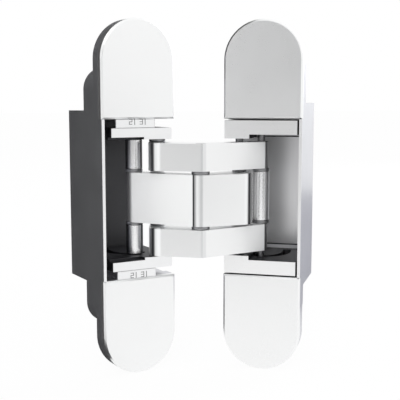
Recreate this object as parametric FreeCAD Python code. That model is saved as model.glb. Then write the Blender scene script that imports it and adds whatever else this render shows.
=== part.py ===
import FreeCAD, Part
import math
import os

# Concealed three way adjustable door hinge, sizes in mm, angles in degrees.
# Left leaf frame: x points to the partner leaf, y goes into the wood, z is up.
# The front of each leaf is the plane y = 0 while it is built.
# At the end all is moved so that the back of the left flange is the plane y = 0.

# Leaf outline, shared by both leaves
leaf_height = 111.0
leaf_width = 24.9
cap_thick = 2.0
cap_inner_z = 24.9
half_width = leaf_width / 2.0
flange_back = 6.2
side_wall = 0.95
back_wall = 0.8
box_depth = 26.7
step_half_height = 41.0
step_corner = 7.0
cap_slope = 0.6

# Left leaf, the one in the frame
left_step_depth = 14.0
left_box_top = 27.4
left_box_bottom = -26.9
left_roof = 1.5

# Right leaf, the one in the door
right_step_depth = 7.3
right_box_top = 29.8
right_box_bottom = -28.5
right_rail_gap = 0.15

# Holes under the caps
mount_z = leaf_height / 2.0 - 8.5
mount_hole = 4.8
mount_head = 9.4
clamp_z = 33.0
clamp_screw = 5.0
clamp_gap = 0.05
clamp_sunk = 0.6
clamp_end_gap = 1.4
hex_key = 2.5
hex_depth = 2.0
clip_z = 40.5
clip_x = 8.0
clip_thick = 1.2
clip_wide = 4.0
clip_long = 3.0
clip_gap = 0.1

# Fold mechanism in the pose of the picture, plan positions
fold_now = 45.33
right_leaf_x = 34.616
right_leaf_y = -16.437
centre_x = 15.66
centre_y = -10.76
left_fixed_x = half_width - 3.15
left_fixed_y = 6.0
left_slide_x = 2.28
left_slide_y = 8.7
right_fixed_x = 3.68 - half_width
right_fixed_y = 6.62
right_slide_x = -2.0
right_slide_y = 8.7
closed_gap = 3.0

# Links and pins
wide_half = 7.95
narrow_in = 9.05
narrow_out = 17.55
pivot_pin_radius = 1.25
centre_pin_radius = 1.6
running_gap = 0.03
slot_gap = 0.12
slot_points = 9
fixed_eye = 2.55
centre_eye = 3.4
slide_eye = 2.2
lobe_along = 11.9
lobe_off = 5.9
lobe_radius = 3.3
wide_end_front = 3.2
narrow_end_front = 3.7
end_corner = 0.8
corner_back = 1.1
groove_wide = 0.35
groove_deep = 0.3
groove_turn = -14.0
fixed_washer = 2.35
slide_washer = 2.75
centre_washer = 2.8
sleeve_radius = 2.7
washer_gap = 0.08
pass_gap = 0.35
notch_way_out = 5.0

# Cradles that carry the fixed pins and hold the slots
left_plate_in = 18.6
left_plate_out = 22.15
left_plate_x0 = side_wall + 2.3 - half_width
left_plate_x1 = half_width - 1.05
left_relief = 0.75
left_relief_x = 1.8
left_relief_y = 3.0
plate_front = 0.2
plate_back = box_depth - back_wall - 1.0
right_plate_in = 20.0
right_plate_out = 24.4
right_boss_in = 18.7
right_boss_x = -4.2
right_plate_x0 = 0.25 - half_width
right_plate_x1 = half_width - side_wall - 0.6
pin_end_gap = 0.5

# Clamp blocks between the left cradle and the roof of its box
block_gap = 0.1
block_x0 = -7.7
block_x1 = 5.7
block_front = 0.3
block_back = 13.6
block_cap_gap = 0.1

PARTS = "parts"


def vec(x, y, z=0.0):
    return FreeCAD.Vector(x, y, z)


def turn(point, pivot, degrees):
    a = math.radians(degrees)
    dx = point[0] - pivot[0]
    dy = point[1] - pivot[1]
    x = pivot[0] + dx * math.cos(a) - dy * math.sin(a)
    y = pivot[1] + dx * math.sin(a) + dy * math.cos(a)
    return (x, y)


def shift(point, by):
    return (point[0] + by[0], point[1] + by[1])


def minus(a, b):
    return (a[0] - b[0], a[1] - b[1])


def length(a):
    return math.hypot(a[0], a[1])


def heading(a):
    return math.degrees(math.atan2(a[1], a[0]))


def wrap(degrees):
    return (degrees + 180.0) % 360.0 - 180.0


def right_to_world(point):
    turned = turn(point, (0.0, 0.0), -fold_now)
    return shift(turned, (right_leaf_x, right_leaf_y))


def place_right(shape):
    moved = shape.copy()
    moved.rotate(vec(0, 0), vec(0, 0, 1), -fold_now)
    moved.translate(vec(right_leaf_x, right_leaf_y))
    return moved


# Fold mechanism worked out from the pin places
centre = (centre_x, centre_y)
left_fixed = (left_fixed_x, left_fixed_y)
left_slide = (left_slide_x, left_slide_y)
right_fixed = right_to_world((right_fixed_x, right_fixed_y))
right_slide = right_to_world((right_slide_x, right_slide_y))
left_arm = length(minus(centre, left_fixed))
right_arm = length(minus(centre, right_fixed))


def closed_centre():
    far = (-right_fixed_x, -closed_gap - right_fixed_y)
    span = minus(far, left_fixed)
    d = length(span)
    along = (left_arm ** 2 - right_arm ** 2 + d ** 2) / (2.0 * d)
    side = math.sqrt(left_arm ** 2 - along ** 2)
    ux = span[0] / d
    uy = span[1] / d
    one = (left_fixed[0] + along * ux - side * uy, left_fixed[1] + along * uy + side * ux)
    two = (left_fixed[0] + along * ux + side * uy, left_fixed[1] + along * uy - side * ux)
    nearest = min((one, two), key=lambda c: c[0])
    return nearest, far


centre_shut, right_fixed_shut = closed_centre()
turn_shut = fold_now - 180.0
narrow_shut = wrap(heading(minus(centre_shut, left_fixed)) - heading(minus(centre, left_fixed)))
wide_shut = wrap(heading(minus(centre_shut, right_fixed_shut)) - heading(minus(centre, right_fixed)))
ratio_centre = (wide_shut - narrow_shut) / narrow_shut
ratio_leaf = (turn_shut - wide_shut) / narrow_shut
narrow_open = fold_now / (1.0 + ratio_centre + ratio_leaf)
spread_open = ratio_centre * narrow_open


def left_slide_at(angle):
    c = turn(centre, left_fixed, angle)
    arm = minus(left_slide, centre)
    swung = turn(arm, (0.0, 0.0), angle * (1.0 + ratio_centre))
    return shift(swung, c)


def right_slide_at(angle):
    c = turn(centre, left_fixed, angle)
    s = turn(right_slide, left_fixed, angle)
    swing = angle * (1.0 + ratio_centre)
    f = shift(turn(minus(right_fixed, centre), (0.0, 0.0), swing), c)
    swing = angle * (1.0 + ratio_centre + ratio_leaf)
    home = minus((right_leaf_x, right_leaf_y), right_fixed)
    leaf = shift(turn(home, (0.0, 0.0), swing), f)
    return turn(minus(s, leaf), (0.0, 0.0), fold_now - swing)


def box(x0, x1, y0, y1, z0, z1):
    return Part.makeBox(x1 - x0, y1 - y0, z1 - z0, vec(x0, y0, z0))


def rod(point, radius, z0, z1):
    return Part.makeCylinder(radius, z1 - z0, vec(point[0], point[1], z0))


def bore(x, z, radius, y0, y1):
    return Part.makeCylinder(radius, y1 - y0, vec(x, y0, z), vec(0, 1, 0))


def washer(point, radius, hole, z0, z1):
    return rod(point, radius, z0, z1).cut(rod(point, hole, z0 - 1.0, z1 + 1.0))


def round_edges(shape, radius, wanted):
    edges = [e for e in shape.Edges if wanted(e)]
    if not edges:
        return shape
    return shape.makeFillet(radius, edges)


def outline_plate(half_height, half_width, corner, y0, y1):
    # Plate in the plane of the leaf with rounded ends
    body = box(-half_width, half_width, y0, y1, -half_height, half_height)
    return round_edges(body, corner, lambda e: is_deep(e, y1 - y0))


def is_deep(edge, depth):
    box_of = edge.BoundBox
    return abs(box_of.YLength - depth) < 1e-4 and box_of.XLength < 1e-4 and box_of.ZLength < 1e-4


def stadium(y0, y1):
    half = half_width
    mid = box(-half, half, y0, y1, -(leaf_height / 2.0 - half), leaf_height / 2.0 - half)
    top = bore(0.0, leaf_height / 2.0 - half, half, y0, y1)
    low = bore(0.0, half - leaf_height / 2.0, half, y0, y1)
    return mid.fuse(top).fuse(low).removeSplitter()


def casing(step_depth, box_top, box_bottom, cave_top, cave_bottom, inner):
    # One piece zinc casting, inner is +1 or -1 for the side that faces the partner
    half = half_width
    flange = stadium(cap_thick, flange_back)
    step = outline_plate(step_half_height, half, step_corner, cap_thick, step_depth)
    deep = box(-half, half, cap_thick, box_depth, box_bottom, box_top)
    rim = box(-half, half, 0.0, cap_thick + 1.0, -cap_inner_z, cap_inner_z)
    body = flange.fuse(step).fuse(deep).fuse(rim).removeSplitter()
    wall_x = half - side_wall
    x0 = -wall_x
    x1 = half + 1.0
    if inner < 0:
        x0 = -half - 1.0
        x1 = wall_x
    mouth = box(x0, x1, -1.0, flange_back + 0.5, -cap_inner_z, cap_inner_z)
    cave = box(x0, x1, flange_back, box_depth - back_wall, cave_bottom, cave_top)
    body = body.cut(mouth).cut(cave)
    for side in (1.0, -1.0):
        body = body.cut(bore(0.0, side * mount_z, mount_hole / 2.0, 0.0, step_depth + 1.0))
        sink = Part.makeCone(
            mount_head / 2.0,
            mount_hole / 2.0,
            (mount_head - mount_hole) / 2.0,
            vec(0, cap_thick, side * mount_z),
            vec(0, 1, 0),
        )
        body = body.cut(sink)
        body = body.cut(clamp_hole(side, step_depth))
        for x in (-clip_x, clip_x):
            body = body.cut(clip(x, side, clip_gap))
    return body.removeSplitter()


def clamp_hole(side, step_depth):
    end = step_depth - clamp_end_gap + 0.2
    return bore(0.0, side * clamp_z, clamp_screw / 2.0 + clamp_gap, 0.0, end)


def clamp_screws(step_depth):
    # Headless screws with a hexagon socket
    screws = []
    for z in (clamp_z, -clamp_z):
        front = cap_thick + clamp_sunk
        body = bore(0.0, z, clamp_screw / 2.0, front, step_depth - clamp_end_gap)
        screws.append(body.cut(hexagon(z, front)))
    return Part.makeCompound(screws)


def hexagon(z, y):
    points = []
    for i in range(7):
        a = math.radians(60.0 * i)
        r = hex_key / math.sqrt(3.0)
        points.append(vec(r * math.cos(a), y - 0.1, z + r * math.sin(a)))
    face = Part.Face(Part.makePolygon(points))
    return face.extrude(vec(0, hex_depth + 0.1, 0))


def clip(x, side, gap):
    z = side * clip_z
    long = clip_long + gap
    return box(
        x - clip_thick / 2.0 - gap,
        x + clip_thick / 2.0 + gap,
        cap_thick - 0.1,
        cap_thick + long,
        z - clip_wide / 2.0 - gap,
        z + clip_wide / 2.0 + gap,
    )


def cap(side):
    # Cover cap with a sloped front rim and two clip legs
    half = half_width
    plate = stadium(0.0, cap_thick)
    keep = box(-half - 1.0, half + 1.0, -1.0, cap_thick + 1.0, cap_inner_z, leaf_height)
    if side < 0:
        keep = box(-half - 1.0, half + 1.0, -1.0, cap_thick + 1.0, -leaf_height, -cap_inner_z)
    body = plate.common(keep)
    body = body.makeChamfer(cap_slope, [e for e in body.Edges if abs(e.BoundBox.YMax) < 1e-4])
    for x in (-clip_x, clip_x):
        body = body.fuse(clip(x, side, 0.0))
    return body.removeSplitter()


def arc_run(points):
    # Arcs through three points at a time
    return [Part.Arc(points[i], points[i + 1], points[i + 2]) for i in range(0, len(points) - 2, 2)]


def slot(path_at, low, high, radius, z0, z1):
    # Curved slot that follows the true path of a sliding pin
    left_side = []
    right_side = []
    for i in range(slot_points):
        angle = low + (high - low) * i / (slot_points - 1.0)
        here = path_at(angle)
        way = minus(path_at(angle + 0.5), path_at(angle - 0.5))
        nx = -way[1] / length(way)
        ny = way[0] / length(way)
        left_side.append(vec(here[0] + radius * nx, here[1] + radius * ny, z0))
        right_side.append(vec(here[0] - radius * nx, here[1] - radius * ny, z0))
    curves = arc_run(left_side) + arc_run(right_side)
    for one, two, turned in ((left_side[0], right_side[0], 1.0), (left_side[-1], right_side[-1], -1.0)):
        mid = (one + two) * 0.5
        out = vec((two - one).y, -(two - one).x) * (0.5 * turned)
        curves.append(Part.Arc(one, mid + out, two))
    wire = Part.Wire(Part.__sortEdges__([c.toShape() for c in curves]))
    return Part.Face(wire).extrude(vec(0, 0, z1 - z0))


def tangent_angle(a, ra, b, rb, side):
    # Heading from an eye's middle to where the line that touches two eyes leaves it, in radians
    d = minus(b, a)
    return math.atan2(d[1], d[0]) + side * math.acos((ra - rb) / length(d))


def web(a, ra, b, rb, z0, z1):
    # Straight web tangent to two eyes
    corners = []
    for point, radius, side in ((a, ra, 1.0), (b, rb, 1.0), (b, rb, -1.0), (a, ra, -1.0)):
        t = tangent_angle(a, ra, b, rb, side)
        corners.append(vec(point[0] + radius * math.cos(t), point[1] + radius * math.sin(t), z0))
    corners.append(corners[0])
    return Part.Face(Part.makePolygon(corners)).extrude(vec(0, 0, z1 - z0))


def hull(circles, z0, z1):
    # Smallest straight sided outline around three circles
    corners = [vec(c[0][0], c[0][1], z0) for c in circles]
    corners.append(corners[0])
    body = Part.Face(Part.makePolygon(corners)).extrude(vec(0, 0, z1 - z0))
    for i in range(len(circles)):
        a, ra = circles[i]
        b, rb = circles[(i + 1) % len(circles)]
        body = body.fuse(rod(a, ra, z0, z1)).fuse(web(a, ra, b, rb, z0, z1))
    return body


def beside(start, end, along, off):
    # Point given along a line and off to its left
    d = minus(end, start)
    span = length(d)
    ux = d[0] / span
    uy = d[1] / span
    return (start[0] + along * ux - off * uy, start[1] + along * uy + off * ux)


def lobe_of(fixed, front):
    # The thick front of the short half
    return beside(centre, fixed, lobe_along, -front * lobe_off)


def corner_of(slide, end_front, front):
    # The front corner at the end of the long half, a little before the pin
    reach = length(minus(slide, centre)) - corner_back
    return beside(centre, slide, reach, front * (end_front - end_corner))


def arms(fixed, slide, end_front, front, z0, z1):
    # Both halves of a link, front is +1 or -1 for the side of the long half that looks out
    lobe = (lobe_of(fixed, front), lobe_radius)
    corner = (corner_of(slide, end_front, front), end_corner)
    short_half = hull(((centre, centre_eye), lobe, (fixed, fixed_eye)), z0, z1)
    long_half = hull(((centre, centre_eye), corner, (slide, slide_eye)), z0, z1)
    return short_half.fuse(long_half).removeSplitter()


def front_angles(fixed, slide, end_front, front):
    # Where the two flat fronts of a link leave the round of its centre eye
    short_t = tangent_angle(centre, centre_eye, lobe_of(fixed, front), lobe_radius, -front)
    long_t = tangent_angle(centre, centre_eye, corner_of(slide, end_front, front), end_corner, front)
    return short_t, long_t


def polar(point, radius, angle):
    return (point[0] + radius * math.cos(angle), point[1] + radius * math.sin(angle))


def nose(fixed, slide, end_front, front, z0, z1):
    # Fills the round of the centre eye out to a sharp ridge
    one, two = front_angles(fixed, slide, end_front, front)
    half_turn = math.radians(wrap(math.degrees(two - one))) / 2.0
    ridge = polar(centre, centre_eye / math.cos(half_turn), one + half_turn)
    points = (centre, polar(centre, centre_eye, one), ridge, polar(centre, centre_eye, two), centre)
    return Part.Face(Part.makePolygon([vec(p[0], p[1], z0) for p in points])).extrude(vec(0, 0, z1 - z0))


def groove(angle, z0, z1):
    # Thin upright groove beside the knuckle of the wide link
    cut = box(centre_eye - groove_deep, centre_eye + 1.0, -groove_wide / 2.0, groove_wide / 2.0, z0, z1)
    cut.rotate(vec(0, 0), vec(0, 0, 1), math.degrees(angle) + groove_turn)
    cut.translate(vec(centre[0], centre[1]))
    return cut


def wide_link():
    z0 = -wide_half
    z1 = wide_half
    body = arms(right_fixed, left_slide, wide_end_front, 1.0, z0, z1)
    for angle in front_angles(right_fixed, left_slide, wide_end_front, 1.0):
        body = body.cut(groove(angle, z0 - 1.0, z1 + 1.0))
    body = body.cut(rod(centre, centre_pin_radius + running_gap, z0 - 1.0, z1 + 1.0))
    body = body.cut(rod(right_fixed, pivot_pin_radius + running_gap, z0 - 1.0, z1 + 1.0))
    return body.cut(rod(left_slide, pivot_pin_radius, z0 - 1.0, z1 + 1.0))


def pin_notch(z0, z1):
    # Room in the back of the narrow link for the other fixed pin when the door is fully open
    radius = pivot_pin_radius + pass_gap
    deepest = turn(right_fixed, centre, spread_open)
    way_out = turn(right_fixed, centre, notch_way_out)
    body = rod(deepest, radius, z0, z1).fuse(web(deepest, radius, way_out, radius, z0, z1))
    return body.fuse(rod(way_out, radius, z0, z1))


def narrow_link(z0, z1):
    body = arms(left_fixed, right_slide, narrow_end_front, -1.0, z0, z1)
    body = body.fuse(nose(left_fixed, right_slide, narrow_end_front, -1.0, z0, z1)).removeSplitter()
    body = body.cut(pin_notch(z0 - 1.0, z1 + 1.0))
    body = body.cut(rod(centre, centre_pin_radius, z0 - 1.0, z1 + 1.0))
    body = body.cut(rod(left_fixed, pivot_pin_radius + running_gap, z0 - 1.0, z1 + 1.0))
    return body.cut(rod(right_slide, pivot_pin_radius, z0 - 1.0, z1 + 1.0))


def pair_of(make, inner, outer):
    # The same ring above and below the middle plane
    return [make(inner, outer), make(-outer, -inner)]


def left_plate(side):
    z0 = left_plate_in
    z1 = left_plate_out
    body = box(left_plate_x0, left_plate_x1, plate_front, plate_back, z0, z1)
    relief = box(left_plate_x0 - 1.0, left_relief_x, -1.0, left_relief_y, z0 - 1.0, z0 + left_relief)
    body = body.cut(relief)
    path = slot(left_slide_at, narrow_shut, narrow_open, pivot_pin_radius + slot_gap, z0 - 1.0, z1 + 1.0)
    body = body.cut(path).cut(rod(left_fixed, pivot_pin_radius, z0 - 1.0, z1 + 1.0))
    if side < 0:
        body = body.mirror(vec(0, 0), vec(0, 0, 1))
    return body


def right_plate(side):
    z0 = right_plate_in
    z1 = right_plate_out
    body = box(right_plate_x0, right_plate_x1, plate_front, plate_back, z0, z1)
    boss = box(right_plate_x0, right_boss_x, plate_front, plate_back, right_boss_in, z1)
    body = body.fuse(boss).removeSplitter()
    low = right_boss_in - 1.0
    path = slot(right_slide_at, narrow_shut, narrow_open, pivot_pin_radius + slot_gap, low, z1 + 1.0)
    hole = rod((right_fixed_x, right_fixed_y), pivot_pin_radius, low, z1 + 1.0)
    body = body.cut(path).cut(hole)
    if side < 0:
        body = body.mirror(vec(0, 0), vec(0, 0, 1))
    return place_right(body)


def clamp_block(side, roof):
    # Block that guides the cradle plate under the roof of the box
    z0 = left_plate_out + block_gap
    body = box(block_x0, block_x1, block_front, block_back, z0, cap_inner_z - block_cap_gap)
    foot = box(block_x0, block_x1, flange_back + block_cap_gap, block_back, z0, roof)
    body = body.fuse(foot).removeSplitter()
    if side < 0:
        body = body.mirror(vec(0, 0), vec(0, 0, 1))
    return body


def build():
    left_cave_top = left_box_top - left_roof
    left_cave_bottom = left_box_bottom + left_roof
    right_cave = right_plate_out + right_rail_gap
    left_pin_end = left_plate_out - 0.05
    right_pin_end = right_plate_out - 0.05
    left_travel_end = left_plate_out - pin_end_gap
    right_travel_end = right_plate_out - pin_end_gap
    low = wide_half + washer_gap
    high = narrow_in - washer_gap
    left_top_high = left_plate_in - washer_gap
    snug = 0.02

    nodes = {}
    nodes["left_casing"] = casing(
        left_step_depth, left_box_top, left_box_bottom, left_cave_top, left_cave_bottom, 1
    )
    nodes["left_cap_top"] = cap(1)
    nodes["left_cap_bottom"] = cap(-1)
    nodes["left_block_top"] = clamp_block(1, left_cave_top)
    nodes["left_block_bottom"] = clamp_block(-1, -left_cave_bottom)
    nodes["left_clamp_screws"] = clamp_screws(left_step_depth)
    nodes["left_cradle_top"] = left_plate(1)
    nodes["left_cradle_bottom"] = left_plate(-1)
    nodes["left_fixed_pins"] = Part.makeCompound(
        pair_of(lambda a, b: rod(left_fixed, pivot_pin_radius, a, b), low, left_pin_end)
    )
    nodes["left_fixed_washers"] = Part.makeCompound(
        pair_of(lambda a, b: washer(left_fixed, fixed_washer, pivot_pin_radius + snug, a, b), low, high)
    )

    nodes["narrow_link_top"] = narrow_link(narrow_in, narrow_out)
    nodes["narrow_link_bottom"] = narrow_link(-narrow_out, -narrow_in)
    nodes["centre_pin"] = rod(centre, centre_pin_radius, -narrow_out, narrow_out)
    nodes["centre_washers"] = Part.makeCompound(
        pair_of(lambda a, b: washer(centre, centre_washer, centre_pin_radius + snug, a, b), low, high)
    )
    nodes["right_slide_pin"] = rod(right_slide, pivot_pin_radius, -right_travel_end, right_travel_end)
    nodes["right_slide_sleeve"] = washer(
        right_slide, sleeve_radius, pivot_pin_radius + snug, -low + 0.1, low - 0.1
    )
    nodes["right_slide_washers"] = Part.makeCompound(
        pair_of(lambda a, b: washer(right_slide, slide_washer, pivot_pin_radius + snug, a, b), low, high)
    )

    nodes["wide_link"] = wide_link()
    nodes["left_slide_pin"] = rod(left_slide, pivot_pin_radius, -left_travel_end, left_travel_end)
    nodes["left_slide_washers"] = Part.makeCompound(
        pair_of(lambda a, b: washer(left_slide, slide_washer, pivot_pin_radius + snug, a, b), low, high)
    )
    nodes["left_slide_sleeves"] = Part.makeCompound(
        pair_of(
            lambda a, b: washer(left_slide, sleeve_radius, pivot_pin_radius + snug, a, b),
            narrow_in,
            left_top_high - 0.2,
        )
    )

    nodes["right_fixed_pin"] = rod(right_fixed, pivot_pin_radius, -right_pin_end, right_pin_end)
    nodes["right_fixed_washers"] = Part.makeCompound(
        pair_of(lambda a, b: washer(right_fixed, fixed_washer, pivot_pin_radius + snug, a, b), low, high)
    )
    nodes["right_cradle_top"] = right_plate(1)
    nodes["right_cradle_bottom"] = right_plate(-1)

    nodes["right_casing"] = place_right(
        casing(right_step_depth, right_box_top, right_box_bottom, right_cave, -right_cave, -1)
    )
    nodes["right_cap_top"] = place_right(cap(1))
    nodes["right_cap_bottom"] = place_right(cap(-1))
    nodes["right_clamp_screws"] = place_right(clamp_screws(right_step_depth))
    return nodes


os.makedirs(PARTS, exist_ok=True)
for name, shape in build().items():
    shape.translate(vec(0, -flange_back))
    shape.exportStep(PARTS + "/" + name + ".step")
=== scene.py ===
"""Looks of a concealed door hinge: satin zinc casings, cover caps, crossing links and pins.

Lengths are in metres, in the frame of the leaf that sits in the door frame:
x points to the door's leaf, y goes into the wood and z is up.
"""

from __future__ import annotations

import logging
import math
from dataclasses import dataclass, replace
from enum import Enum
from typing import Any, Union

import bmesh
import bpy
from mathutils import Matrix, Vector

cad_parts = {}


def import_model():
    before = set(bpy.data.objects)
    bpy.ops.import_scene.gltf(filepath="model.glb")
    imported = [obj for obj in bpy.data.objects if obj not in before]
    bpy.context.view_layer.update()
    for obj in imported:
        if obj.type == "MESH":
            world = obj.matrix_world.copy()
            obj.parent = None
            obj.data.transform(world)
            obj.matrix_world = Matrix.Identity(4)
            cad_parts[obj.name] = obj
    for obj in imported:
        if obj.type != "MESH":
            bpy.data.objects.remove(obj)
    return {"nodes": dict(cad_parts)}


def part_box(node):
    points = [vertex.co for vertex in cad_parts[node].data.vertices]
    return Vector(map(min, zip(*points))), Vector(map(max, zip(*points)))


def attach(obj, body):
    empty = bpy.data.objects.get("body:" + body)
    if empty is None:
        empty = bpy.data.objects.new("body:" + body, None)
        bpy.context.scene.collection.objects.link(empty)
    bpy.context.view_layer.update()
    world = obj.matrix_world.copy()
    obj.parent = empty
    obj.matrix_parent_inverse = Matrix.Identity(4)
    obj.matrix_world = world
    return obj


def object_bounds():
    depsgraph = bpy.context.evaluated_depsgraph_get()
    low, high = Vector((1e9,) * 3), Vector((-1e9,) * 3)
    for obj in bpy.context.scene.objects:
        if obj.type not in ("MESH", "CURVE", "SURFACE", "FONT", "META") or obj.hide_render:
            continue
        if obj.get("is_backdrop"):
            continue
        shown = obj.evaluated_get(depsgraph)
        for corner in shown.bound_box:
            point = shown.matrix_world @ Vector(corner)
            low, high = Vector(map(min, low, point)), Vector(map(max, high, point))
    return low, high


LOG = logging.getLogger("hinge")
MM = 0.001
NOISE_MEAN = 0.5

Colour = tuple[float, float, float]
Triple = tuple[float, float, float]
Number = Union[float, "Value"]


def mm(x: float, y: float, z: float) -> Triple:
    """Turns three lengths in millimetres into metres."""
    return (x * MM, y * MM, z * MM)


class Side(Enum):
    """The end of a leaf that a piece belongs to, as the sign of its height."""

    TOP = 1
    BOTTOM = -1


class Grain(Enum):
    """The way a metal surface was finished, as stretch of its fine pattern along x, y and z."""

    BLASTED = (1.0, 1.0, 1.0)
    TURNED = (0.05, 0.05, 1.0)


class Value:
    """A node socket that can be used in arithmetic."""

    def __init__(self, graph: "Graph", socket: bpy.types.NodeSocket) -> None:
        """Keeps the socket and the graph that it belongs to."""
        self.graph = graph
        self.socket = socket

    def _math(self, operation: str, first: Number, second: Number) -> "Value":
        """Adds a Math node that works on two numbers or values."""
        return self.graph.node("ShaderNodeMath", {"operation": operation}, {0: first, 1: second})

    def __add__(self, other: Number) -> "Value":
        """Adds a number or a value."""
        return self._math("ADD", self, other)

    def __radd__(self, other: Number) -> "Value":
        """Adds to a number."""
        return self._math("ADD", other, self)

    def __sub__(self, other: Number) -> "Value":
        """Takes a number or a value away."""
        return self._math("SUBTRACT", self, other)

    def __rsub__(self, other: Number) -> "Value":
        """Is taken away from a number."""
        return self._math("SUBTRACT", other, self)

    def __mul__(self, other: Number) -> "Value":
        """Multiplies by a number or a value."""
        return self._math("MULTIPLY", self, other)

    def __rmul__(self, other: Number) -> "Value":
        """Multiplies a number."""
        return self._math("MULTIPLY", other, self)

    def inside(self, low: float, high: float, blur: float) -> "Value":
        """Is 1 between two limits and 0 outside them.

        Args:
            low: the lower limit.
            high: the upper limit.
            blur: the distance over which the value changes.

        Returns:
            The new value.
        """
        above = ((self - low) * (1.0 / blur)).clamped()
        below = ((high - self) * (1.0 / blur)).clamped()
        return above * below

    def clamped(self) -> "Value":
        """Keeps the value between 0 and 1."""
        low = self._math("MAXIMUM", self, 0.0)
        return self._math("MINIMUM", low, 1.0)


class Graph:
    """The node tree of a material or of the world."""

    def __init__(self, tree: bpy.types.NodeTree) -> None:
        """Takes a node tree and empties it."""
        self.tree = tree
        self.tree.nodes.clear()

    def node(
        self,
        kind: str,
        settings: dict[str, Any] | None = None,
        inputs: dict[Any, Any] | None = None,
        out: Any = 0,
    ) -> Value:
        """Adds one node.

        Args:
            kind: the node's type.
            settings: properties that are set first.
            inputs: values or links, by socket name or index.
            out: the output to return, by name or index.

        Returns:
            The chosen output, or the first input of a node that has no outputs.
        """
        made = self.tree.nodes.new(kind)
        for name, setting in (settings or {}).items():
            setattr(made, name, setting)
        for name, given in (inputs or {}).items():
            if isinstance(given, Value):
                self.tree.links.new(given.socket, made.inputs[name])
            else:
                made.inputs[name].default_value = given
        return Value(self, made.outputs[out]) if len(made.outputs) else Value(self, made.inputs[0])

    def mixed(self, share: Value, first: Any, second: Any) -> Value:
        """Mixes two colours, each a value or four numbers, by the share of the second."""
        colours = {"Factor": share, 6: first, 7: second}
        return self.node("ShaderNodeMix", {"data_type": "RGBA"}, colours, out=2)


@dataclass(frozen=True)
class Region:
    """A box in a frame turned about z, where a finish has another colour or gloss, most often painted shade
    or painted light.

    The roughness and metallic of the finish change by the amounts given. The region's
    edges fade over blur, or over one distance for each axis where fade gives them.
    """

    origin: Triple
    turned: float
    low: Triple
    high: Triple
    blur: float = 0.15 * MM
    colour: Colour | None = None
    roughness: float = 0.0
    metallic: float = 0.0
    fade: Triple | None = None

    def mask(self, graph: Graph, place: Value) -> Value:
        """Finds the points that lie in the region.

        Args:
            graph: the graph of the material.
            place: the point in the frame of the whole part.

        Returns:
            1 in the region and 0 outside it.
        """
        own = graph.node(
            "ShaderNodeMapping",
            {"vector_type": "TEXTURE"},
            {"Vector": place, "Location": self.origin, "Rotation": (0.0, 0.0, self.turned)},
        )
        found: Value | None = None
        fade = self.fade or (self.blur, self.blur, self.blur)
        for axis, low, high, soft in zip("XYZ", self.low, self.high, fade):
            along = graph.node("ShaderNodeSeparateXYZ", inputs={"Vector": own}, out=axis)
            within = along.inside(low, high, soft)
            found = within if found is None else found * within
        return found


@dataclass(frozen=True)
class MetalFinish:
    """A metal surface with a fine grain and slightly uneven gloss."""

    name: str
    colour: Colour
    roughness: float
    grain: Grain = Grain.BLASTED
    grain_size: float = 0.25 * MM
    grain_depth: float = 0.05
    cloud: float = 0.04
    metallic: float = 1.0
    regions: tuple[Region, ...] = ()
    grain_detail: float = 3.0
    grain_gloss: float = 2.4
    cloud_scale: float = 90.0
    cloud_detail: float = 2.0
    cloud_gloss: float = 2.0
    bump_height: float = 0.02 * MM

    def material(self) -> bpy.types.Material:
        """Builds the material.

        Returns:
            The new material.
        """
        made = bpy.data.materials.new(self.name)
        made.use_nodes = True
        graph = Graph(made.node_tree)
        place = graph.node("ShaderNodeTexCoord", out="Object")
        scale = [stretch / self.grain_size for stretch in self.grain.value]
        fine_place = graph.node("ShaderNodeMapping", inputs={"Vector": place, "Scale": scale})
        fine = graph.node(
            "ShaderNodeTexNoise", inputs={"Vector": fine_place, "Scale": 1.0, "Detail": self.grain_detail}
        )
        broad = graph.node(
            "ShaderNodeTexNoise",
            inputs={"Vector": place, "Scale": self.cloud_scale, "Detail": self.cloud_detail},
        )
        fine_gloss = (fine - NOISE_MEAN) * (self.grain_depth * self.grain_gloss)
        gloss = fine_gloss + (broad - NOISE_MEAN) * self.cloud * self.cloud_gloss + self.roughness
        dark = tuple(channel * (1.0 - self.cloud) for channel in self.colour) + (1.0,)
        light = tuple(min(1.0, channel * (1.0 + self.cloud)) for channel in self.colour) + (1.0,)
        tone = graph.mixed(broad.clamped(), dark, light)
        metallic: Number = self.metallic
        # The regions paint their colours, mostly painted shade and light, over the tone and change gloss and
        # metal share
        for region in self.regions:
            share = region.mask(graph, place)
            if region.colour is not None:
                tone = graph.mixed(share, tone, (*region.colour, 1.0))
            if region.roughness:
                gloss = gloss + share * region.roughness
            if region.metallic:
                metallic = share * region.metallic + metallic
        bump = graph.node(
            "ShaderNodeBump",
            inputs={"Height": fine, "Strength": self.grain_depth, "Distance": self.bump_height},
        )
        surface = graph.node(
            "ShaderNodeBsdfPrincipled",
            inputs={
                "Base Color": tone,
                "Roughness": gloss.clamped(),
                "Normal": bump,
                "Metallic": metallic,
            },
        )
        graph.node("ShaderNodeOutputMaterial", inputs={"Surface": surface})
        return made


@dataclass(frozen=True)
class PaintFinish:
    """Plain paint with a slightly uneven gloss, on the scale's marks and the studio's cards."""

    name: str
    colour: Colour
    roughness: float
    worn_scale: float = 1400.0
    worn_detail: float = 2.0
    worn_gloss: float = 0.2

    def material(self) -> bpy.types.Material:
        """Builds the material.

        Returns:
            The new material.
        """
        made = bpy.data.materials.new(self.name)
        made.use_nodes = True
        graph = Graph(made.node_tree)
        place = graph.node("ShaderNodeTexCoord", out="Object")
        worn = graph.node(
            "ShaderNodeTexNoise",
            inputs={"Vector": place, "Scale": self.worn_scale, "Detail": self.worn_detail},
        )
        surface = graph.node(
            "ShaderNodeBsdfPrincipled",
            inputs={
                "Base Color": (*self.colour, 1.0),
                "Roughness": (worn * self.worn_gloss + self.roughness).clamped(),
            },
        )
        graph.node("ShaderNodeOutputMaterial", inputs={"Surface": surface})
        return made


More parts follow.
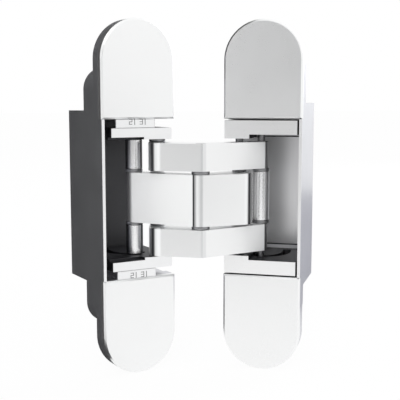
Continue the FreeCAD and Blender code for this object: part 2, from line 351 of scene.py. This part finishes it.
# Places that the regions are measured from
LEFT_LEAF = mm(0.0, 0.0, 0.0)
RIGHT_LEAF = mm(34.616, -22.637, 0.0)
RIGHT_LEAF_TURN = math.radians(-45.33)
CENTRE_PIN = mm(15.66, -16.96, 0.0)
LEFT_SLIDE_PIN = mm(2.28, 2.5, 0.0)
RIGHT_SLIDE_PIN = mm(39.4, -15.1, 0.0)
NARROW_LOBE = mm(5.92, -7.92, 0.0)
WIDE_LOBE = mm(28.74, -19.21, 0.0)

# Painted shade and painted light in the casings, on the caps' ends, the sleeves and the cradle plates
# Painted shade: the inside of the left casing is dark grey and rougher than the casting.
LEFT_CAVITY_SHADE = Region(
    origin=LEFT_LEAF,
    turned=0.0,
    low=mm(-11.4, -6.0, -24.85),
    high=mm(14.0, 20.0, 24.85),
    colour=(0.145, 0.145, 0.15),
    roughness=0.2,
)
# Painted light: the inside of the right casing is paler and a little glossier than the casting.
RIGHT_CAVITY_LIGHT = Region(
    origin=RIGHT_LEAF,
    turned=RIGHT_LEAF_TURN,
    low=mm(-14.0, 0.2, -28.0),
    high=mm(12.0, 26.2, 28.0),
    colour=(0.87, 0.87, 0.88),
    roughness=-0.06,
)
RIGHT_WALL_SHADE = replace(
    RIGHT_CAVITY_LIGHT,
    low=mm(-30.0, 0.2, -16.0),
    high=mm(5.0, 26.2, 36.0),
    colour=(0.54, 0.54, 0.545),
    roughness=0.0,
    fade=mm(8.0, 0.15, 8.0),
)
# Painted shade: the cradle plates are near black where they lie inside the casings.
LEFT_PLATE_BACK_SHADE = replace(
    LEFT_CAVITY_SHADE, low=mm(-14.0, -5.85, -30.0), high=mm(14.0, 24.0, 30.0), colour=(0.06, 0.06, 0.065)
)
RIGHT_PLATE_BACK_SHADE = replace(
    RIGHT_CAVITY_LIGHT,
    low=mm(-14.0, 0.35, -30.0),
    high=mm(14.0, 30.0, 30.0),
    colour=(0.08, 0.08, 0.085),
    roughness=0.2,
)
# Painted highlight: the casings' front faces and edges are nearly white and glossier.
LEFT_FRONT_HIGHLIGHT = replace(
    LEFT_CAVITY_SHADE,
    low=mm(-20.0, -8.0, -60.0),
    high=mm(20.0, -6.05, 60.0),
    blur=0.06 * MM,
    colour=(0.97, 0.97, 0.975),
    roughness=-0.05,
)
RIGHT_FRONT_HIGHLIGHT = replace(
    LEFT_FRONT_HIGHLIGHT,
    origin=RIGHT_LEAF,
    turned=RIGHT_LEAF_TURN,
    low=mm(-20.0, -2.0, -60.0),
    high=mm(20.0, 0.15, 60.0),
)
# Painted shade: near black in the right casing's gaps at the top and bottom of its inner side.
RIGHT_GAP_SHADE_TOP = replace(
    RIGHT_CAVITY_LIGHT,
    low=mm(10.4, 0.2, 19.5),
    high=mm(12.2, 10.0, 28.0),
    colour=(0.03, 0.03, 0.032),
    roughness=0.2,
)
RIGHT_GAP_SHADE_BOTTOM = replace(RIGHT_GAP_SHADE_TOP, low=mm(10.4, 0.2, -28.0), high=mm(12.2, 10.0, -19.5))
# Painted shade: the caps' inner end faces are near black.
CAP_END_SHADE = Region(
    origin=LEFT_LEAF,
    turned=0.0,
    low=mm(-100.0, -100.0, -24.96),
    high=mm(100.0, 100.0, 24.96),
    blur=0.02 * MM,
    colour=(0.03, 0.03, 0.03),
    roughness=0.2,
)
# Painted shade: dark bands down both edges of the left sleeves.
LEFT_SLEEVE_EDGE_SHADE = Region(
    origin=LEFT_SLIDE_PIN,
    turned=math.radians(-25.5),
    low=mm(-4.0, -5.0, -20.0),
    high=mm(-1.15, 5.0, 20.0),
    blur=0.7 * MM,
    colour=(0.1, 0.1, 0.105),
)
LEFT_SLEEVE_FAR_EDGE_SHADE = replace(
    LEFT_SLEEVE_EDGE_SHADE, low=mm(2.0, -5.0, -20.0), high=mm(4.0, 5.0, 20.0), blur=0.4 * MM
)

# Painted shade and painted light in bands on the wide link
# Painted shade: a near black line in the groove beside the knuckle.
KNUCKLE_GROOVE_SHADE = Region(
    origin=CENTRE_PIN,
    turned=math.radians(200.0),
    low=mm(2.9, -0.24, -8.2),
    high=mm(5.0, 0.24, 8.2),
    blur=0.02 * MM,
    colour=(0.08, 0.08, 0.085),
    roughness=0.2,
)
KNUCKLE_SHADE = Region(
    origin=CENTRE_PIN,
    turned=math.radians(-30.1),
    low=mm(-2.58, -5.0, -9.0),
    high=mm(-1.17, 0.0, 9.0),
    blur=0.61 * MM,
    colour=(0.32, 0.32, 0.325),
)
# Painted shade: a grey band to the right of the knuckle.
KNUCKLE_FOOT_SHADE = replace(
    KNUCKLE_SHADE, low=mm(-0.68, -5.0, -9.0), high=mm(0.92, 0.0, 9.0), colour=(0.7, 0.705, 0.71)
)
# Painted light: less metal towards the wide link's left end, so that end shows lighter.
WIDE_END_LIGHT = Region(
    origin=LEFT_SLIDE_PIN,
    turned=math.radians(-25.5),
    low=mm(-20.0, -20.0, -20.0),
    high=mm(9.4, 20.0, 20.0),
    blur=7.5 * MM,
    metallic=-0.62,
)
# Painted shade: a dark band at the wide link's left tip.
WIDE_TIP_SHADE = replace(
    WIDE_END_LIGHT, high=mm(-0.9, 20.0, 20.0), blur=0.7 * MM, colour=(0.2, 0.2, 0.205), metallic=0.0
)
# Painted shade: a near black band on the side face at the wide link's right end.
WIDE_SIDE_SHADE = Region(
    origin=WIDE_LOBE,
    turned=math.radians(-32.83),
    low=mm(2.3, -4.0, -9.0),
    high=mm(5.0, 1.5, 9.0),
    blur=0.4 * MM,
    colour=(0.09, 0.09, 0.095),
)

# Painted shade and painted light in bands on the narrow links
FOLD_SHADE = replace(
    KNUCKLE_SHADE,
    low=mm(-0.1, -5.0, -19.0),
    high=mm(1.9, 0.0, 19.0),
    blur=0.46 * MM,
    colour=(0.8, 0.805, 0.81),
)
# Painted shade: a near black band at the narrow links' left ends.
NARROW_EYE_SHADE = Region(
    origin=NARROW_LOBE,
    turned=math.radians(-27.26),
    low=mm(-2.86, -4.0, -19.0),
    high=mm(-1.21, 0.2, 19.0),
    blur=0.55 * MM,
    colour=(0.07, 0.07, 0.075),
)
# Painted highlight: a white band with less metal beside the painted shade of the left ends.
NARROW_HIGHLIGHT = replace(
    NARROW_EYE_SHADE,
    low=mm(-1.1, -4.0, -19.0),
    high=mm(0.6, 0.2, 19.0),
    colour=(0.98, 0.985, 0.985),
    metallic=-0.72,
)
# Painted light: less metal towards the narrow links' right ends, so they show lighter.
NARROW_END_LIGHT = Region(
    origin=RIGHT_SLIDE_PIN,
    turned=math.radians(-34.24),
    low=mm(-9.1, -20.0, -40.0),
    high=mm(20.0, 20.0, 40.0),
    blur=7.5 * MM,
    metallic=-0.72,
)
# Painted shade: a near black band at the narrow links' right tips.
NARROW_TIP_SHADE = replace(
    NARROW_END_LIGHT, low=mm(1.13, -20.0, -40.0), blur=0.3 * MM, colour=(0.05, 0.05, 0.055), metallic=0.0
)

# Finishes of the hinge; many carry the painted shade and light of the regions above
CASTING = MetalFinish(
    "satin_casting", colour=(0.72, 0.725, 0.75), roughness=0.40, grain_size=0.35 * MM, grain_depth=0.06
)
LEFT_CASTING = replace(CASTING, name="satin_casting_left", regions=(LEFT_CAVITY_SHADE, LEFT_FRONT_HIGHLIGHT))
RIGHT_CASTING = replace(
    CASTING,
    name="satin_casting_right",
    regions=(RIGHT_CAVITY_LIGHT, RIGHT_WALL_SHADE, RIGHT_FRONT_HIGHLIGHT, RIGHT_GAP_SHADE_TOP, RIGHT_GAP_SHADE_BOTTOM),
)
# Painted shade: the ledge is near black outside its light strip.
SHADED_LEDGE = replace(CASTING, name="satin_ledge", colour=(0.03, 0.03, 0.032), metallic=0.4)
COVER = MetalFinish(
    "satin_cover", colour=(0.955, 0.96, 0.96), roughness=0.30, grain_size=0.22 * MM, cloud=0.02
)
COVER_WITH_END_SHADE = replace(COVER, name="satin_cover_right", regions=(CAP_END_SHADE,))
WIDE_LINK = MetalFinish(
    "satin_wide_link",
    colour=(0.955, 0.96, 0.96),
    roughness=0.34,
    grain_depth=0.015,
    cloud=0.01,
    metallic=0.68,
    regions=(KNUCKLE_SHADE, KNUCKLE_FOOT_SHADE, KNUCKLE_GROOVE_SHADE, WIDE_END_LIGHT, WIDE_TIP_SHADE, WIDE_SIDE_SHADE),
)
NARROW_LINK = MetalFinish(
    "satin_narrow_link",
    colour=(0.915, 0.92, 0.92),
    roughness=0.32,
    grain_depth=0.015,
    cloud=0.01,
    metallic=0.92,
    regions=(FOLD_SHADE, NARROW_HIGHLIGHT, NARROW_EYE_SHADE, NARROW_END_LIGHT, NARROW_TIP_SHADE),
)
CRADLE = MetalFinish("satin_cradle", colour=(0.93, 0.935, 0.94), roughness=0.30, cloud=0.03)
LEFT_CRADLE = replace(CRADLE, name="satin_cradle_left", regions=(LEFT_PLATE_BACK_SHADE,))
# Painted light: the right cradle is paler than the left one; its plate backs carry painted shade.
LIT_RIGHT_CRADLE = replace(
    CRADLE, name="satin_cradle_right", colour=(0.985, 0.99, 0.99), regions=(RIGHT_PLATE_BACK_SHADE,)
)
SLEEVE = MetalFinish(
    "turned_pin",
    colour=(0.96, 0.96, 0.965),
    roughness=0.24,
    grain=Grain.TURNED,
    grain_size=0.15 * MM,
    cloud=0.03,
)
LEFT_SLEEVE = replace(SLEEVE, name="turned_sleeve_left", regions=(LEFT_SLEEVE_EDGE_SHADE, LEFT_SLEEVE_FAR_EDGE_SHADE))
WASHER = replace(SLEEVE, name="dark_washer", colour=(0.34, 0.34, 0.35), roughness=0.36)
SCREW = MetalFinish(
    "plated_screw", colour=(0.66, 0.67, 0.70), roughness=0.3, grain=Grain.TURNED, grain_size=0.2 * MM
)
MARK = PaintFinish("scale_mark", colour=(0.26, 0.26, 0.265), roughness=0.5)

# Paints of the studio's cards and mats
DARK_SIDE = PaintFinish("dark_card", colour=(0.05, 0.05, 0.05), roughness=0.7)
DARK_MAT = PaintFinish("dark_mat", colour=(0.045, 0.045, 0.046), roughness=0.7)
GREY_LOW = PaintFinish("low_card", colour=(0.52, 0.52, 0.56), roughness=0.7)
GREY_FRONT = PaintFinish("front_card", colour=(0.42, 0.42, 0.42), roughness=0.7)
GREY_NEAR = PaintFinish("near_card", colour=(0.14, 0.14, 0.14), roughness=0.7)
GREY_MAT = PaintFinish("grey_mat", colour=(0.36, 0.36, 0.36), roughness=0.7)


def piece_of(name: str, mesh: bmesh.types.BMesh, finish: MetalFinish | PaintFinish) -> bpy.types.Object:
    """Turns a mesh in the making into a dressed object of the scene.

    Args:
        name: the object's name.
        mesh: the mesh in the making, which is freed.
        finish: the object's finish.

    Returns:
        The new object.
    """
    data = bpy.data.meshes.new(name)
    mesh.to_mesh(data)
    mesh.free()
    piece = bpy.data.objects.new(name, data)
    bpy.context.collection.objects.link(piece)
    data.materials.append(finish.material())
    return piece


@dataclass
class Dresser:
    """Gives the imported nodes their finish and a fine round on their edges."""

    nodes: dict[str, bpy.types.Object]
    edge_round: float = 0.18 * MM
    round_steps: int = 2
    weld: float = 0.004 * MM
    sharp_from: float = math.radians(32.0)
    flat_weight: int = 100

    def dress(self, finish: MetalFinish, names: list[str], edge_round: float | None = None) -> None:
        """Gives one finish to several nodes.

        Args:
            finish: the finish.
            names: the nodes' names.
            edge_round: the round on their edges, or None for the usual one.
        """
        material = finish.material()
        for name in names:
            piece = self.nodes[name]
            piece.data.materials.clear()
            piece.data.materials.append(material)
            self.soften(piece, self.edge_round if edge_round is None else edge_round)
            LOG.info("dressed %s in %s", name, finish.name)

    def soften(self, piece: bpy.types.Object, width: float) -> None:
        """Rounds the sharp edges of a piece.

        Args:
            piece: the piece.
            width: the width of the round.
        """
        joined = piece.modifiers.new("joined", "WELD")
        joined.merge_threshold = self.weld
        rounded = piece.modifiers.new("rounded", "BEVEL")
        rounded.width = width
        rounded.segments = self.round_steps
        rounded.limit_method = "ANGLE"
        rounded.angle_limit = self.sharp_from
        rounded.harden_normals = False
        rounded.use_clamp_overlap = True
        flat = piece.modifiers.new("flat", "WEIGHTED_NORMAL")
        flat.weight = self.flat_weight
        flat.keep_sharp = True


class Stroke(Enum):
    """One bar of a digit, as the middle and size of it in shares of the digit's width and height."""

    HIGH = (0.0, 0.5, 1.0, 0.0)
    MIDDLE = (0.0, 0.0, 1.0, 0.0)
    LOW = (0.0, -0.5, 1.0, 0.0)
    HIGH_RIGHT = (0.5, 0.25, 0.0, 0.5)
    LOW_LEFT = (-0.5, -0.25, 0.0, 0.5)
    LOW_RIGHT = (0.5, -0.25, 0.0, 0.5)


DIGITS = {
    2: (Stroke.HIGH, Stroke.HIGH_RIGHT, Stroke.MIDDLE, Stroke.LOW_LEFT, Stroke.LOW),
    3: (Stroke.HIGH, Stroke.HIGH_RIGHT, Stroke.MIDDLE, Stroke.LOW_RIGHT, Stroke.LOW),
}


@dataclass
class AdjusterScale:
    """The stamped scale on the front of the left leaf's clamp blocks: a line and a digit, twice."""

    body: str = "left_leaf"
    lines: tuple[float, float] = (-0.35 * MM, 3.25 * MM)
    line_wide: float = 0.26 * MM
    line_tall: float = 1.9 * MM
    digit_back: float = 1.35 * MM
    digit_wide: float = 0.9 * MM
    digit_tall: float = 1.45 * MM
    stroke: float = 0.22 * MM
    proud: float = 0.03 * MM

    def bar(self, mesh: bmesh.types.BMesh, middle: Vector, wide: float, tall: float) -> None:
        """Adds one flat bar.

        Args:
            mesh: the mesh to add to.
            middle: the bar's middle, on the front of the block.
            wide: its width.
            tall: its height.
        """
        size = Vector((wide, 2.0 * self.proud, tall))
        place = Matrix.Translation(middle) @ Matrix.Diagonal((*size, 1.0))
        bmesh.ops.create_cube(mesh, size=1.0, matrix=place)

    def digit(self, mesh: bmesh.types.BMesh, middle: Vector, number: int) -> None:
        """Adds one digit.

        Args:
            mesh: the mesh to add to.
            middle: the digit's middle.
            number: the digit.
        """
        for stroke in DIGITS[number]:
            x, z, wide, tall = stroke.value
            place = middle + Vector((x * self.digit_wide, 0.0, z * self.digit_tall))
            self.bar(mesh, place, wide * self.digit_wide + self.stroke, tall * self.digit_tall + self.stroke)

    def build(self, side: Side) -> bpy.types.Object:
        """Builds the marks of one block as one mesh.

        Args:
            side: the upper or the lower block.

        Returns:
            The new object.
        """
        low, high = (Vector(corner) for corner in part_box(f"left_block_{side.name.lower()}"))
        middle = Vector(((low.x + high.x) / 2.0, low.y, (low.z + high.z) / 2.0))
        mesh = bmesh.new()
        for along, number in zip(self.lines, DIGITS):
            line = middle + Vector((along, 0.0, 0.0))
            self.bar(mesh, line, self.line_wide, self.line_tall)
            self.digit(mesh, line - Vector((self.digit_back, 0.0, 0.0)), number)
        piece = piece_of(f"scale_marks_{side.name.lower()}", mesh, MARK)
        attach(piece, self.body)
        LOG.info("built %s", piece.name)
        return piece


@dataclass
class BackLedge:
    """The cast ledge behind each plate of the right leaf, as a light strip along the back wall between bands
    of painted shade.
    """

    body: str = "right_leaf"
    low: tuple[float, float] = (-11.9 * MM, 24.95 * MM)
    high: tuple[float, float] = (11.35 * MM, 25.95 * MM)
    inner: float = 18.35 * MM
    outer: float = 20.3 * MM
    edge_round: float = 0.15 * MM
    round_steps: int = 2
    # Width and fade of the painted shade along the ledge's upper and lower edges
    line: float = 0.36 * MM
    line_blur: float = 0.05 * MM
    strip_colour: Colour = (0.74, 0.745, 0.76)
    strip_roughness: float = 0.2

    def finish(self, foot: float, top: float) -> MetalFinish:
        """Gives the ledge's finish, near black painted shade with a light strip.

        Args:
            foot: the height of the ledge's lower face.
            top: the height of its upper face.

        Returns:
            The finish.
        """
        strip = Region(
            origin=RIGHT_LEAF,
            turned=RIGHT_LEAF_TURN,
            low=(self.low[0], self.low[1] - self.line, foot + self.line),
            high=(self.high[0], self.high[1], top - self.line),
            blur=self.line_blur,
            colour=self.strip_colour,
            roughness=self.strip_roughness,
        )
        return replace(SHADED_LEDGE, regions=(strip,))

    def build(self, side: Side) -> bpy.types.Object:
        """Builds the ledge of one plate.

        Args:
            side: the upper or the lower plate.

        Returns:
            The new object.
        """
        size = Vector((self.high[0] - self.low[0], self.high[1] - self.low[1], self.outer - self.inner))
        middle = Vector(
            (
                (self.low[0] + self.high[0]) / 2.0,
                (self.low[1] + self.high[1]) / 2.0,
                side.value * (self.inner + self.outer) / 2.0,
            )
        )
        leaf = Matrix.Translation(Vector(RIGHT_LEAF)) @ Matrix.Rotation(RIGHT_LEAF_TURN, 4, "Z")
        place = leaf @ Matrix.Translation(middle) @ Matrix.Diagonal((*size, 1.0))
        mesh = bmesh.new()
        bmesh.ops.create_cube(mesh, size=1.0, matrix=place)
        bmesh.ops.bevel(
            mesh,
            geom=mesh.edges[:],
            offset=self.edge_round,
            segments=self.round_steps,
            profile=0.5,
            affect="EDGES",
        )
        finish = self.finish(middle.z - size.z / 2.0, middle.z + size.z / 2.0)
        piece = piece_of(f"back_ledge_{side.name.lower()}", mesh, finish)
        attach(piece, self.body)
        LOG.info("built %s", piece.name)
        return piece


@dataclass
class PivotCollar:
    """The dark collar on a fixed pin between a narrow link and the left plate."""

    body: str = "left_cradle"
    place: Triple = mm(9.3, -0.2, 0.0)
    inner: float = 17.62 * MM
    outer: float = 18.54 * MM
    bore: float = 1.85 * MM
    radius: float = 2.6 * MM
    edge_round: float = 0.12 * MM
    steps: int = 48

    def build(self, side: Side) -> bpy.types.Object:
        """Builds the collar of one narrow link as a turned ring.

        Args:
            side: the upper or the lower link.

        Returns:
            The new object.
        """
        cut = self.edge_round
        outline = [
            (self.bore, self.inner),
            (self.radius - cut, self.inner),
            (self.radius, self.inner + cut),
            (self.radius, self.outer - cut),
            (self.radius - cut, self.outer),
            (self.bore, self.outer),
        ]
        mesh = bmesh.new()
        rings = []
        for step in range(self.steps):
            angle = math.tau * step / self.steps
            aside = Vector((math.cos(angle), math.sin(angle), 0.0))
            ring = []
            for far, z in outline:
                point = Vector(self.place) + aside * far + Vector((0.0, 0.0, side.value * z))
                ring.append(mesh.verts.new(point))
            rings.append(ring)
        for here, after in zip(rings, rings[1:] + rings[:1]):
            for i in range(len(outline)):
                j = (i + 1) % len(outline)
                mesh.faces.new((here[i], after[i], after[j], here[j]))
        bmesh.ops.recalc_face_normals(mesh, faces=mesh.faces[:])
        piece = piece_of(f"pivot_collar_{side.name.lower()}", mesh, WASHER)
        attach(piece, self.body)
        LOG.info("built %s", piece.name)
        return piece


@dataclass
class Hinge:
    """The whole hinge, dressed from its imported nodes."""

    nodes: dict[str, bpy.types.Object]
    casing_round: float = 0.25 * MM
    cap_round: float = 0.2 * MM
    link_round: float = 0.22 * MM
    sleeve_round: float = 0.15 * MM
    ring_round: float = 0.12 * MM

    def dress(self) -> None:
        """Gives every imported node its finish."""
        dresser = Dresser(self.nodes)
        dresser.dress(LEFT_CASTING, ["left_casing"], self.casing_round)
        dresser.dress(RIGHT_CASTING, ["right_casing"], self.casing_round)
        for leaf, finish in (("left", COVER), ("right", COVER_WITH_END_SHADE)):
            dresser.dress(finish, [f"{leaf}_cap_{side.name.lower()}" for side in Side], self.cap_round)
        dresser.dress(WIDE_LINK, ["wide_link"], self.link_round)
        dresser.dress(NARROW_LINK, ["narrow_link_top", "narrow_link_bottom"], self.link_round)
        for leaf, finish in (("left", LEFT_CRADLE), ("right", LIT_RIGHT_CRADLE)):
            dresser.dress(finish, [f"{leaf}_cradle_{side.name.lower()}" for side in Side])
        dresser.dress(CRADLE, [f"left_block_{side.name.lower()}" for side in Side])
        pins = ["left_fixed_pins", "right_fixed_pin", "left_slide_pin", "right_slide_pin", "centre_pin"]
        rings = [f"{leaf}_{kind}_washers" for leaf in ("left", "right") for kind in ("fixed", "slide")]
        dresser.dress(LEFT_SLEEVE, ["left_slide_sleeves"], self.sleeve_round)
        dresser.dress(SLEEVE, ["right_slide_sleeve"], self.sleeve_round)
        dresser.dress(WASHER, pins + rings + ["centre_washers"], self.ring_round)
        dresser.dress(SCREW, ["left_clamp_screws", "right_clamp_screws"])

    def build(self) -> None:
        """Dresses the nodes and adds the marks, ledges and collars."""
        self.dress()
        scale = AdjusterScale()
        ledge = BackLedge()
        collar = PivotCollar()
        for side in Side:
            scale.build(side)
            ledge.build(side)
            collar.build(side)


@dataclass(frozen=True)
class Card:
    """An upright sheet beside the hinge, which makes the metal that mirrors it look darker.

    Its heading is the way to it from the hinge's middle, in degrees from y towards x, and
    low and high are the heights of its edges over that middle.
    """

    finish: PaintFinish
    heading: float
    distance: float
    wide: float
    low: float
    high: float

    def corners(self, middle: Vector, floor: float) -> list[Vector]:
        """Works out its four corners.

        Args:
            middle: the hinge's middle.
            floor: the height of the mats, which a card doesn't need.

        Returns:
            The corners in order.
        """
        angle = math.radians(self.heading)
        away = Vector((math.sin(angle), math.cos(angle), 0.0))
        aside = Vector((math.cos(angle), -math.sin(angle), 0.0)) * (self.wide / 2.0)
        base = middle + away * self.distance
        foot = Vector((0.0, 0.0, self.low))
        top = Vector((0.0, 0.0, self.high))
        return [base - aside + foot, base + aside + foot, base + aside + top, base - aside + top]


@dataclass(frozen=True)
class Mat:
    """A sheet on the floor beside the hinge, between two opposite corners."""

    finish: PaintFinish
    near: tuple[float, float]
    far: tuple[float, float]

    def corners(self, middle: Vector, floor: float) -> list[Vector]:
        """Works out its four corners at the height of the mats."""
        (x0, y0), (x1, y1) = self.near, self.far
        return [Vector((x, y, floor)) for x, y in ((x0, y0), (x1, y0), (x1, y1), (x0, y1))]


@dataclass(frozen=True)
class Softbox:
    """A square area lamp that faces the hinge, with its side in metres and its power in watts."""

    name: str
    place: Triple
    size: float
    power: float
    colour: Colour


SHEETS: tuple[Card | Mat, ...] = (
    Card(DARK_SIDE, heading=-30.0, distance=0.11, wide=0.2, low=-0.0555, high=0.35),
    Card(GREY_LOW, heading=72.0, distance=0.085, wide=0.14, low=-0.0555, high=-0.006),
    Mat(DARK_MAT, near=(-0.16, -0.02), far=(-0.0135, 0.0)),
    Mat(DARK_MAT, near=(-0.16, 0.0), far=(0.006, 0.15)),
    Card(GREY_FRONT, heading=-141.0, distance=0.7, wide=0.65, low=-0.05, high=0.5),
    Mat(GREY_MAT, near=(-0.34, -0.27), far=(-0.185, -0.13)),
    Card(GREY_NEAR, heading=178.0, distance=0.4, wide=0.2, low=-0.0555, high=0.01),
)
SOFTBOXES = (
    Softbox("key", place=(-0.45, -0.62, 0.62), size=0.5, power=2.0, colour=(1.0, 1.0, 1.0)),
    Softbox("side", place=(0.75, 0.25, 0.35), size=0.5, power=2.5, colour=(0.9, 0.92, 1.0)),
)


@dataclass
class Studio:
    """A plain white studio with soft light and the camera of the picture."""

    low: Vector
    high: Vector
    camera_place: Triple = mm(-113.436, -239.586, 30.251)
    heading: float = math.radians(30.067)
    pitch: float = math.radians(-7.320)
    focal_length: float = 75.34
    sensor: float = 36.0
    shift_up: float = 0.0227
    clip_near: float = 0.01
    clip_far: float = 50.0
    floor_reach: float = 6.0
    floor_gap: float = 0.2 * MM
    floor_grey: float = 0.93
    floor_roughness: float = 0.9
    floor_white: float = 0.95
    world_strength: float = 0.85

    def camera(self) -> None:
        """Sets the camera where the picture was taken from."""
        data = bpy.data.cameras.new("camera")
        data.lens = self.focal_length
        data.sensor_width = self.sensor
        data.shift_y = self.shift_up
        data.clip_start = self.clip_near
        data.clip_end = self.clip_far
        piece = bpy.data.objects.new("camera", data)
        piece.location = self.camera_place
        piece.rotation_euler = (math.pi / 2.0 + self.pitch, 0.0, -self.heading)
        bpy.context.collection.objects.link(piece)
        bpy.context.scene.camera = piece

    def seen(self, graph: Graph) -> Value:
        """Tells the rays that show the background, straight, mirrored or through glass.

        Args:
            graph: the graph to add to.

        Returns:
            1 for such rays and 0 for the rest.
        """
        kinds = ("Is Camera Ray", "Is Glossy Ray", "Is Transmission Ray")
        straight, mirrored, through = (graph.node("ShaderNodeLightPath", out=kind) for kind in kinds)
        return (straight + mirrored + through).clamped()

    def world(self) -> None:
        """Makes the background white to the camera and soft grey light to the rest."""
        world = bpy.data.worlds.new("studio")
        bpy.context.scene.world = world
        world.use_nodes = True
        graph = Graph(world.node_tree)
        strength = self.seen(graph) * (1.0 - self.world_strength) + self.world_strength
        light = graph.node(
            "ShaderNodeBackground", inputs={"Color": (1.0, 1.0, 1.0, 1.0), "Strength": strength}
        )
        graph.node("ShaderNodeOutputWorld", inputs={"Surface": light})

    def floor(self) -> None:
        """Lays a white floor just under the hinge."""
        data = bpy.data.meshes.new("floor")
        reach = self.floor_reach
        z = self.low.z - self.floor_gap
        corners = [(-reach, -reach, z), (reach, -reach, z), (reach, reach, z), (-reach, reach, z)]
        data.from_pydata(corners, [], [(0, 1, 2, 3)])
        piece = bpy.data.objects.new("floor", data)
        bpy.context.collection.objects.link(piece)
        made = bpy.data.materials.new("white_floor")
        made.use_nodes = True
        graph = Graph(made.node_tree)
        grey = (self.floor_grey, self.floor_grey, self.floor_grey, 1.0)
        lit = graph.node(
            "ShaderNodeBsdfPrincipled", inputs={"Base Color": grey, "Roughness": self.floor_roughness}
        )
        white = graph.node("ShaderNodeEmission", inputs={"Color": (1.0, 1.0, 1.0, 1.0), "Strength": 1.0})
        seen = self.seen(graph) * self.floor_white
        surface = graph.node("ShaderNodeMixShader", inputs={0: seen, 1: lit, 2: white})
        graph.node("ShaderNodeOutputMaterial", inputs={"Surface": surface})
        data.materials.append(made)
        piece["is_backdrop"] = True

    def sheet(self, finish: PaintFinish, corners: list[Vector]) -> None:
        """Makes one flat four sided piece of the studio that only mirrors show.

        Args:
            finish: its paint.
            corners: its four corners.
        """
        data = bpy.data.meshes.new(finish.name)
        data.from_pydata([tuple(corner) for corner in corners], [], [(0, 1, 2, 3)])
        data.materials.append(finish.material())
        piece = bpy.data.objects.new(finish.name, data)
        piece.visible_camera = False
        piece.visible_diffuse = False
        piece.visible_shadow = False
        bpy.context.collection.objects.link(piece)
        piece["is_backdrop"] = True

    def hang(self, lamp: Softbox, target: Vector) -> None:
        """Hangs one lamp.

        Args:
            lamp: the lamp.
            target: the point that it faces.
        """
        data = bpy.data.lights.new(lamp.name, "AREA")
        data.shape = "SQUARE"
        data.size = lamp.size
        data.energy = lamp.power
        data.color = lamp.colour
        piece = bpy.data.objects.new(lamp.name, data)
        piece.location = lamp.place
        piece.rotation_mode = "QUATERNION"
        piece.rotation_quaternion = (target - Vector(lamp.place)).to_track_quat("-Z", "Y")
        bpy.context.collection.objects.link(piece)

    def build(self) -> None:
        """Builds the studio."""
        self.camera()
        self.world()
        self.floor()
        middle = (self.low + self.high) / 2.0
        mat_height = self.low.z - self.floor_gap / 2.0
        for sheet in SHEETS:
            self.sheet(sheet.finish, sheet.corners(middle, mat_height))
        for lamp in SOFTBOXES:
            self.hang(lamp, middle)


def main() -> None:
    """Builds the hinge and its studio."""
    logging.basicConfig(level=logging.INFO, format="%(name)s: %(message)s")
    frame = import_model()
    cad_low, cad_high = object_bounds()
    Hinge(frame["nodes"]).build()
    Studio(Vector(cad_low), Vector(cad_high)).build()
    bpy.context.scene.view_settings.view_transform = "Standard"


if __name__ == "__main__":
    main()
